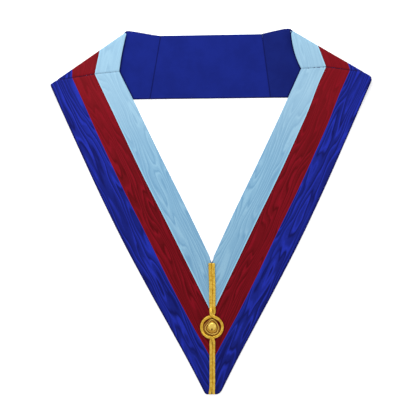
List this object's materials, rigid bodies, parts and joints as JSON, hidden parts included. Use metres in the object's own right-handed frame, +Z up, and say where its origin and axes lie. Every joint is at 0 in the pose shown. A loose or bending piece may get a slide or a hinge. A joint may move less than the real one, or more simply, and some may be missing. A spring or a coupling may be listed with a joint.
{
  "type": "masonic collar",
  "caption": "V-fronted collar of three-colour watered ribbon, laid flat with its back folded under, with a gold braid ringing a domed button at the point.",
  "frame": {"origin": "bottom centre of the bounding box of the collar as it lies flat, on the surface that it lies on", "axes": "+Z up from the face of the collar; +Y from the point to the back of the neck; +X to the right as seen from above"},
  "size_m": [0.4652, 0.5286, 0.0102],
  "materials": {
    "sky": "watered silk-like ribbon, faint moire, satin sheen",
    "crimson": "watered silk-like ribbon, moire, satin sheen",
    "royal": "watered silk-like ribbon, strong moire, satin sheen",
    "lining": "plain dark blue lining cloth, matt",
    "braid": "gold-coloured metallic thread braid",
    "button": "gilt, bright on the dome and darker in the recess"
  },
  "bodies": {
    "root": {"front_left_sky": "sky", "front_left_crimson": "crimson", "front_left_royal": "royal", "front_left_lining": "lining", "shoulder_left_sky": "sky", "shoulder_left_crimson": "crimson", "shoulder_left_royal": "royal", "shoulder_left_lining": "lining", "front_right_sky": "sky", "front_right_crimson": "crimson", "front_right_royal": "royal", "front_right_lining": "lining", "shoulder_right_sky": "sky", "shoulder_right_crimson": "crimson", "shoulder_right_royal": "royal", "shoulder_right_lining": "lining", "back_sky": "sky", "back_crimson": "crimson", "back_royal": "royal", "back_lining": "lining", "braid_left": "braid", "braid_right": "braid", "button": "button"}
  },
  "joints": []
}
